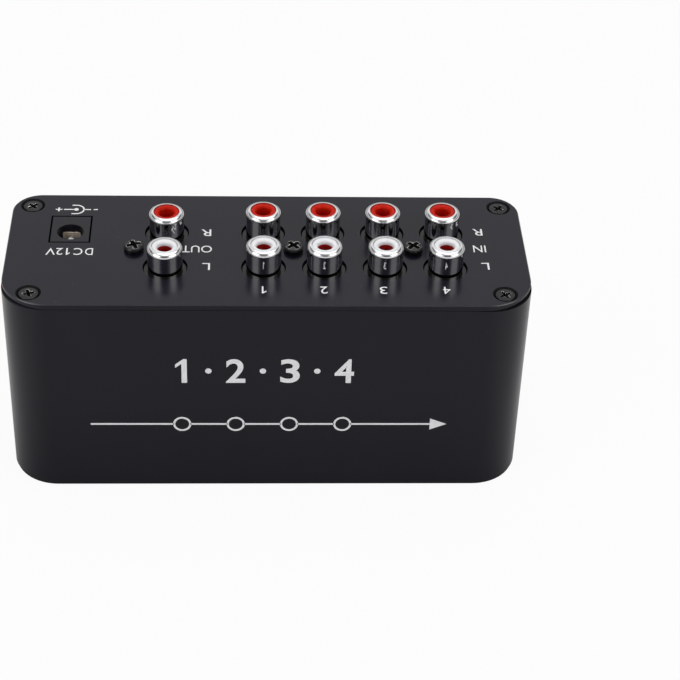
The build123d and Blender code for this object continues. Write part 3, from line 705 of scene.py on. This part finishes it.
def solid_centres(node):
    """Middle, across and along the plate, of each solid in a node of small round pieces."""
    groups = []
    for vertex in nodes[node].data.vertices:
        point = vertex.co.xy
        near = next((g for g in groups if (g[0] - point).length < solid_reach * mm), None)
        if near is None:
            groups.append([point.copy()])
        else:
            near.append(point.copy())
    middles = []
    for group in groups:
        across = [p.x for p in group]
        along = [p.y for p in group]
        middles.append(Vector(((min(across) + max(across)) / 2, (min(along) + max(along)) / 2)))
    return sorted(middles, key=lambda point: point.x)


plate_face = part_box("rear_plate")[1].z
front_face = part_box("front_plate")[0].z
broad_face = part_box("case_sleeve")[0].y
shell_nodes = [name for name in nodes if name.endswith("_shell")]
corner_axes = solid_centres("rear_plate_screws")
pan_axes = solid_centres("jack_block_screws")


# Jack shells


def shell_outline(low, rim):
    """Section of a jack shell from its neck to its rolled rim, heights from the plate's face."""
    under = rim - rim_round
    lip = arc((rim_radius - rim_under_round, under), rim_under_round, rim_under_start, 0,
              rim_under_steps)
    roll = arc((rim_radius - rim_round, under), rim_round, 0, 90, rim_steps)
    seat = -plate_thickness - seat_depth
    neck = [(bore_radius, low), (neck_radius, low), (neck_radius, seat), (seat_radius, seat),
            (seat_radius, 0), (barrel_radius, 0), (barrel_radius, lip[0][1])]
    return neck + lip + roll[1:] + [(bore_radius, rim)]


def jack_shells(name, members):
    """The shells of one jack block as one piece."""
    low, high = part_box(members[0])
    outline = shell_outline((low.z - plate_face) / mm, (high.z - plate_face) / mm)
    shell = turned(name + "_pattern", outline, turned_steps)
    places = [((*centre_of(member).xy, plate_face), (0, 0, 0)) for member in members]
    piece = into_scene(name, set_on_places(name, shell, places, nickel), "case")
    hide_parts(*members)


# Insulator rings


def ring_outline():
    """Section of an insulator ring, heights from the jack's rim."""
    top = -ring_drop
    low = top - ring_length
    entry = arc((ring_hole + ring_entry, top - ring_entry), ring_entry, 180, 90, ring_entry_steps)
    edge = arc((ring_radius - ring_edge, top - ring_edge), ring_edge, 90, 0, ring_edge_steps)
    return [(ring_hole, top - ring_lip), *entry, *edge, (ring_radius, low), (ring_socket, low),
            (ring_socket, top - ring_lip)]


def insulator_rings(name, side, made_of):
    """The rings of one colour as one piece."""
    shells = [shell for shell in shell_nodes if side in shell]
    ring = turned(name + "_pattern", ring_outline(), turned_steps)
    places = [((*centre_of(shell).xy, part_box(shell)[1].z), (0, 0, 0)) for shell in shells]
    piece = into_scene(name, set_on_places(name, ring, places, made_of), "case")
    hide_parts(*(shell.replace("shell", "ring") for shell in shells))


# Screws


def cross_cutter(name, recess, top):
    """A cross of some span, width and depth that narrows to its floor, as a driver's tip does."""
    span, width, depth = recess
    plan = cross_plan(span / 2, width / 2)
    share = recess_floor_share
    made = bmesh.new()
    high = [made.verts.new(Vector((x, y, top + depth)) * mm) for x, y in plan]
    mouth = [made.verts.new(Vector((x, y, top)) * mm) for x, y in plan]
    floor = [made.verts.new(Vector((x * share, y * share, top - depth)) * mm) for x, y in plan]
    made.faces.new(high)
    made.faces.new(floor[::-1])
    for upper, lower in ((high, mouth), (mouth, floor)):
        for here in range(len(plan)):
            after = (here + 1) % len(plan)
            made.faces.new((lower[here], lower[after], upper[after], upper[here]))
    return plain_mesh(name, made)


def driven_screw(name, outline, recess, top, worn):
    """A turned screw with a cross recess, whose recess faces are marked for a painted shade and
    whose worn rim is marked for bare metal.
    """
    body = turned(name + "_body", outline, screw_steps)
    mesh = cut_out(body, cross_cutter(name + "_cutter", recess, top))
    span, _, depth = recess
    mark = mesh.attributes.new("recess", "FLOAT", "FACE")
    for face, point in zip(mesh.polygons, mark.data):
        inside = face.center.xy.length < span / 2 * mm
        point.value = float(inside and face.center.z < (top - recess_rim_share * depth) * mm)
    wear = mesh.attributes.new("wear", "FLOAT", "POINT")
    for vertex, point in zip(mesh.vertices, wear.data):
        point.value = worn if vertex.co.xy.length < (span / 2 + wear_reach) * mm else 0.0
    return mesh


def corner_screw(length):
    """Countersunk head whose cone ends at zero height, under a low crown."""
    edge, crown = corner_head_edge, corner_head_crown
    rim = arc((corner_head_radius - edge, crown - edge), edge, 90, 0, corner_edge_steps)
    outline = [(0, crown), *rim, (corner_head_radius, 0),
               (corner_shank_radius, -corner_head_height), (corner_shank_radius, -length),
               (0, -length)]
    return driven_screw("corner_screw", outline, corner_recess, crown, corner_worn)


def pan_screw(length):
    """Round pan head that sits on zero height."""
    shoulder = pan_head_height - pan_dome - pan_head_round
    rim = arc((pan_head_radius - pan_head_round, shoulder), pan_head_round, pan_round_start, 0,
              pan_round_steps)
    outline = [(0, pan_head_height), (pan_head_radius / 2, pan_head_height - pan_dome / 4), *rim,
               (pan_head_radius, 0), (pan_shank_radius, 0), (pan_shank_radius, -length),
               (0, -length)]
    return driven_screw("pan_screw", outline, pan_recess, pan_head_height, pan_worn)


def screw_set(name, node, pattern, places, made_of):
    """Screws of one kind at their places, as one piece that stands for a node."""
    piece = into_scene(name, set_on_places(name, pattern, places, made_of), "case")
    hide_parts(node)


def corner_turn(axis):
    """How far that corner's screw was turned when it came tight."""
    side = (1 if axis.x > 0 else -1, 1 if axis.y > 0 else -1)
    return math.radians(corner_turns[side])


def screws():
    """Corner screws of both end plates, and the pan screws of the jack blocks."""
    low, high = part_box("rear_plate_screws")
    head = corner_screw((high.z - low.z) / mm)
    places = [((*axis, high.z), (0, 0, corner_turn(axis))) for axis in corner_axes]
    screw_set("rear_corner_screws", "rear_plate_screws", head, places, screw_black)
    low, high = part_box("front_plate_screws")
    head = corner_screw((high.z - low.z) / mm)
    places = [((*axis, low.z), (math.pi, 0, corner_turn(axis))) for axis in corner_axes]
    screw_set("front_corner_screws", "front_plate_screws", head, places, screw_black)
    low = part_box("jack_block_screws")[0]
    head = pan_screw((plate_face - low.z) / mm)
    places = [((*axis, plate_face), (0, 0, math.radians(turn)))
              for axis, turn in zip(pan_axes, pan_turns)]
    screw_set("jack_pan_screws", "jack_block_screws", head, places, pan_black)


# End plates, with the walls of their holes painted darker than their faces, a painted shade


def in_a_hole(face, low, high):
    """True for a face of a plate's wall that belongs to one of its holes."""
    point = face.center
    for axis in corner_axes:
        inward = axis - point.xy
        if inward.length < corner_hole_reach * mm:
            return inward.dot(face.normal.xy) > 0
    inset = plate_edge_depth * mm
    return low.x + inset < point.x < high.x - inset and low.y + inset < point.y < high.y - inset


def open_gap(made):
    """Opens the gap round the power inlet's face to what its rounded edges leave in sight."""
    low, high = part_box("inlet_body")
    middle, half = (low + high) / 2, (high - low) / 2
    for vertex in made.verts:
        away = vertex.co - middle
        past = [abs(away[axis]) - half[axis] for axis in (0, 1)]
        if max(past) < inlet_gap_reach * mm:
            for axis in (0, 1):
                if past[axis] > 0:
                    vertex.co[axis] += math.copysign(inlet_gap_extra * mm, away[axis])


def plate_finish(face, low, high):
    """What a face of an end plate is finished with: painted shade on its holes' walls, and a
    painted highlight on its chamfers.
    """
    tilt = abs(face.normal.z)
    if tilt > level_tilt:
        return plate_black
    if in_a_hole(face, low, high):
        return hole_wall_painted_shade
    return sleeve_black if tilt < upright_tilt else chamfer_painted_highlight


def end_plate(name, node):
    """An end plate, shaped as the solid is and finished face by face."""
    low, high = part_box(node)
    made = bmesh.new()
    corners = [made.verts.new(vertex.co) for vertex in nodes[node].data.vertices]
    for face in nodes[node].data.polygons:
        made.faces.new([corners[corner] for corner in face.vertices])
    open_gap(made)
    mesh = plain_mesh(name, made)
    finishes = (plate_black, sleeve_black, hole_wall_painted_shade, chamfer_painted_highlight)
    for material in finishes:
        mesh.materials.append(material)
    for face in mesh.polygons:
        face.material_index = finishes.index(plate_finish(face, low, high))
    piece = into_scene(name, mesh, "case")
    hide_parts(node)


# Print


def letters(words, weight):
    """Words as a thin mesh, before they have a place. Weight makes their strokes broader."""
    curve = bpy.data.curves.new("letters", "FONT")
    curve.body = words
    curve.extrude = print_thickness / 2 * mm
    curve.offset = weight
    made = bpy.data.objects.new("letters", curve)
    scene.collection.objects.link(made)
    mesh = worked_mesh(made)
    bpy.data.curves.remove(curve)
    return mesh


def set_outline(print_mesh, outline, place):
    """A flat closed outline made as thick as the print."""
    half = print_thickness / 2
    low = [print_mesh.verts.new(place @ (Vector((x, y, -half)) * mm)) for x, y in outline]
    high = [print_mesh.verts.new(place @ (Vector((x, y, half)) * mm)) for x, y in outline]
    print_mesh.faces.new(high)
    print_mesh.faces.new(low[::-1])
    for here in range(len(outline)):
        after = (here + 1) % len(outline)
        print_mesh.faces.new((low[here], low[after], high[after], high[here]))


def set_line(print_mesh, points, width, place, closed=False):
    """A drawn line of one width through points, squarely ended or joined up."""
    half = print_thickness / 2
    count = len(points)
    rows = []
    for here, point in enumerate(points):
        before = Vector(points[here - 1] if here or closed else point)
        after = Vector(points[(here + 1) % count] if here + 1 < count or closed else point)
        along = (after - before).normalized()
        side = Vector((-along.y, along.x)) * width / 2
        left, right = Vector(point) + side, Vector(point) - side
        corners = [(*left, half), (*right, half), (*right, -half), (*left, -half)]
        rows.append([print_mesh.verts.new(place @ (Vector(corner) * mm)) for corner in corners])
    for row, after in zip(rows, rows[1:] + (rows[:1] if closed else [])):
        for here in range(len(row)):
            corner = (here + 1) % len(row)
            print_mesh.faces.new((row[here], row[corner], after[corner], after[here]))
    if not closed:
        print_mesh.faces.new(rows[0][::-1])
        print_mesh.faces.new(rows[-1])


def set_one(print_mesh, width, height, place, weight):
    """The number one, with a flag at its head."""
    stem = (one_stem + one_stem_gain * weight) * height
    left, right = -width / 2, width / 2
    foot, top = -height / 2, height / 2
    flag = [top - share * height for share in one_flag]
    outline = [(right, foot), (right, top), (right - one_head * stem, top), (left, flag[0]),
               (left, flag[1]), (right - stem, flag[2]), (right - stem, foot)]
    set_outline(print_mesh, outline, place)


def set_sign(print_mesh, sign, width, height, place, weight=0.0):
    """A sign fitted to a width and height, added to a print at a place."""
    if sign == "1":
        set_one(print_mesh, width, height, place, weight)
        return
    mesh = letters(sign, weight)
    across = [point.co.x for point in mesh.vertices]
    up = [point.co.y for point in mesh.vertices]
    centre = Vector(((min(across) + max(across)) / 2, (min(up) + max(up)) / 2, 0))
    fit = Matrix.Diagonal((width * mm / (max(across) - min(across)),
                           height * mm / (max(up) - min(up)), 1, 1))
    mesh.transform(place @ fit @ Matrix.Translation(-centre))
    print_mesh.from_mesh(mesh)
    bpy.data.meshes.remove(mesh)


def print_piece(name, print_mesh, ink):
    """A print with its ink, as a piece."""
    mesh = plain_mesh(name, print_mesh)
    mesh.shade_flat()
    mesh.materials.append(ink)
    into_scene(name, mesh, "case")


def on_jack_plate(x, y, turn):
    """A place on the jack plate, for signs that read from the far side where it is turned."""
    lift = Matrix.Translation((x * mm, y * mm, plate_face + print_thickness / 2 * mm))
    return lift @ Matrix.Rotation(turn, 4, "Z")


def jack_plate_print():
    """Signs beside the jacks and the inlet, and the inlet's polarity."""
    made = bmesh.new()
    for sign, x, y, width in plate_signs:
        set_sign(made, sign, width, cap_height, on_jack_plate(x, y, math.pi))
    flat = on_jack_plate(0, polarity_y, 0)
    cross = cross_plan(polarity_cross / 2, polarity_line / 2)
    set_outline(made, [(x + polarity_cross_x, y) for x, y in cross], flat)
    set_outline(made, circle((polarity_dot_x, 0), polarity_dot, dot_steps), flat)
    ring = arc((polarity_dot_x, 0), polarity_ring, -90, 90, polarity_ring_steps)
    lead = polarity_dot_x - polarity_ring_lead
    set_line(made, [(lead, -polarity_ring), *ring, (lead, polarity_ring)], polarity_line, flat)
    for start, stop in (polarity_left_lead, polarity_right_lead, polarity_dash):
        set_line(made, [(start, 0), (stop, 0)], polarity_line, flat)
    print_piece("jack_plate_print", made, ink_white)


def on_broad_face(x, z):
    """A place on the broad face, across it and up it."""
    lift = Matrix.Translation((x * mm, broad_face - print_thickness / 2 * mm, z * mm))
    return lift @ Matrix.Rotation(math.pi / 2, 4, "X")


def broad_face_print():
    """Big numbers with dots between, over contacts on a line with an arrow."""
    made = bmesh.new()
    for number, x in enumerate(big_number_x, 1):
        width = big_one_width if number == 1 else big_number_width
        set_sign(made, str(number), width, big_number_height, on_broad_face(x, big_number_z),
                 big_number_weight)
    flat = on_broad_face(0, big_number_z)
    for before, after in zip(big_number_x, big_number_x[1:]):
        set_outline(made, circle(((before + after) / 2, 0), big_dot, dot_steps), flat)
    flat = on_broad_face(0, signal_z)
    stops = [signal_ends[0]]
    for x in big_number_x:
        ring = circle((x, 0), contact_ring, contact_steps)
        set_line(made, ring, signal_line, flat, closed=True)
        stops += [x - contact_ring, x + contact_ring]
    tip = signal_ends[1]
    stops.append(tip - arrow_length)
    for start, stop in zip(stops[::2], stops[1::2]):
        set_line(made, [(start, 0), (stop, 0)], signal_line, flat)
    set_outline(made, [(tip, 0), (tip - arrow_length, arrow_width / 2),
                       (tip - arrow_length, -arrow_width / 2)], flat)
    print_piece("broad_face_print", made, ink_silver)


def front_plate_print():
    """A number beside each light."""
    made = bmesh.new()
    level = front_face - print_thickness / 2 * mm
    for number, axis in enumerate(solid_centres("indicator_lights"), 1):
        lift = Matrix.Translation((axis.x, light_number_y * mm, level))
        place = lift @ Matrix.Rotation(math.pi, 4, "X")
        width = light_one_width if number == 1 else light_number_width
        set_sign(made, str(number), width, light_number_height, place)
    print_piece("front_plate_print", made, ink_white)


jack_shells("input_jack_shells", [name for name in shell_nodes if name.startswith("input")])
jack_shells("output_jack_shells", [name for name in shell_nodes if name.startswith("output")])
insulator_rings("red_rings", "right", plastic_red)
insulator_rings("white_rings", "left", plastic_white)
screws()
end_plate("jack_plate", "rear_plate")
end_plate("light_plate", "front_plate")
jack_plate_print()
broad_face_print()
front_plate_print()


# Stage: floor, room, lamps and camera


def seen_directly(tree):
    """1 for camera, mirror and see-through rays, 0 for the rest."""
    path = add(tree, "ShaderNodeLightPath").outputs
    both = calculate(tree, "MAXIMUM", path["Is Camera Ray"], path["Is Glossy Ray"])
    return calculate(tree, "MAXIMUM", both, path["Is Transmission Ray"])


def mirrored_floor(tree):
    """How white the floor is in mirrors: a painted shadow close before the broad face, painted
    light at the sides.
    """
    place = add(tree, "ShaderNodeNewGeometry").outputs["Position"]
    parts = add(tree, "ShaderNodeSeparateXYZ", None, {0: place}).outputs
    close, clear = (broad_face - reach * mm for reach in floor_painted_shadow)
    before = ranged(tree, parts["Y"], (close, clear), (0.0, floor_mirror_share))
    sides = [reach * mm for reach in floor_painted_light_reach]
    out = calculate(tree, "ABSOLUTE", parts["X"])
    aside = ranged(tree, out, sides, (0.0, floor_painted_light_share))
    return calculate(tree, "MAXIMUM", before, aside)


def make_floor():
    """A floor that is lit as a grey one and seen as a white one."""
    half, low = floor_size / 2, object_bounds()[0].z
    mesh = bpy.data.meshes.new("studio_floor")
    corners = [(-half, -half, low), (half, -half, low), (half, half, low), (-half, half, low)]
    mesh.from_pydata(corners, [], [(0, 1, 2, 3)])
    floor = bpy.data.objects.new("studio_floor", mesh)
    scene.collection.objects.link(floor)
    material = bpy.data.materials.new("studio_floor")
    material.use_nodes = True
    tree = material.node_tree
    tree.nodes.clear()
    lit = add(tree, "ShaderNodeBsdfDiffuse", None, {"Color": linear(*floor_grey)}).outputs[0]
    white = add(tree, "ShaderNodeEmission", None, {"Color": pure_white, "Strength": 1.0}).outputs[0]
    camera_ray = add(tree, "ShaderNodeLightPath").outputs["Is Camera Ray"]
    share = ranged(tree, camera_ray, (0, 1), (mirrored_floor(tree), floor_white_share))
    share = calculate(tree, "MULTIPLY", seen_directly(tree), share)
    mixed = add(tree, "ShaderNodeMixShader", None, {0: share, 1: lit, 2: white}).outputs[0]
    add(tree, "ShaderNodeOutputMaterial", None, {"Surface": mixed})
    mesh.materials.append(material)


def room_shade(tree):
    """How dark the room is along each way out of the part."""
    way = add(tree, "ShaderNodeTexCoord").outputs["Generated"]
    parts = add(tree, "ShaderNodeSeparateXYZ", None, {0: way}).outputs
    out = {"X": calculate(tree, "ABSOLUTE", parts["X"]), "Y": parts["Y"], "Z": parts["Z"]}
    darkest = 0.0
    for shade, ramps in room_shades.values():
        for axis, none, full in ramps:
            ramp = ranged(tree, out[axis], (none, full), (0.0, 1.0))
            shade = calculate(tree, "MULTIPLY", ramp, shade)
        darkest = calculate(tree, "MAXIMUM", shade, darkest)
    return darkest


def make_room():
    """A room that the camera sees as white, shaded here and there in mirrors."""
    world = bpy.data.worlds.new("studio_room")
    scene.world = world
    world.use_nodes = True
    tree = world.node_tree
    back = tree.nodes["Background"]
    camera_ray = add(tree, "ShaderNodeLightPath").outputs["Is Camera Ray"]
    others = calculate(tree, "SUBTRACT", 1.0, camera_ray)
    shade = calculate(tree, "MULTIPLY", room_shade(tree), others)
    feed(tree, back.inputs["Color"], blended(tree, shade, pure_white, linear(*room_grey)))
    strength = ranged(tree, seen_directly(tree), (0, 1), (room_fill, 1.0))
    feed(tree, back.inputs["Strength"], strength)


def make_lamp(name, place, size, power):
    """A square soft lamp, turned towards the part."""
    light = bpy.data.lights.new(name, "AREA")
    light.shape = "SQUARE"
    light.size = size
    light.energy = power
    lamp = bpy.data.objects.new(name, light)
    lamp.location = place
    way = Vector(lamp_aim) - Vector(place)
    lamp.rotation_euler = way.to_track_quat("-Z", "Y").to_euler()
    scene.collection.objects.link(lamp)


def make_camera():
    """The photograph's own camera."""
    ahead = Vector((-math.sin(camera_yaw) * math.cos(camera_pitch),
                    math.cos(camera_yaw) * math.cos(camera_pitch), -math.sin(camera_pitch)))
    level = Vector((math.cos(camera_yaw), math.sin(camera_yaw), 0))
    down = ahead.cross(level)
    across = math.cos(camera_roll) * level + math.sin(camera_roll) * down
    under = -math.sin(camera_roll) * level + math.cos(camera_roll) * down
    lens = bpy.data.cameras.new("camera")
    lens.sensor_width = sensor_width
    lens.lens = focal_pixels / image_pixels * sensor_width
    lens.clip_start, lens.clip_end = camera_clip
    camera = bpy.data.objects.new("camera", lens)
    turn = Matrix((across, -under, -ahead)).transposed().to_4x4()
    camera.matrix_world = Matrix.Translation(camera_place) @ turn
    scene.collection.objects.link(camera)
    scene.camera = camera


make_floor()
make_room()
for name, (place, size, power) in lamps.items():
    make_lamp(name, place, size, power)
make_camera()
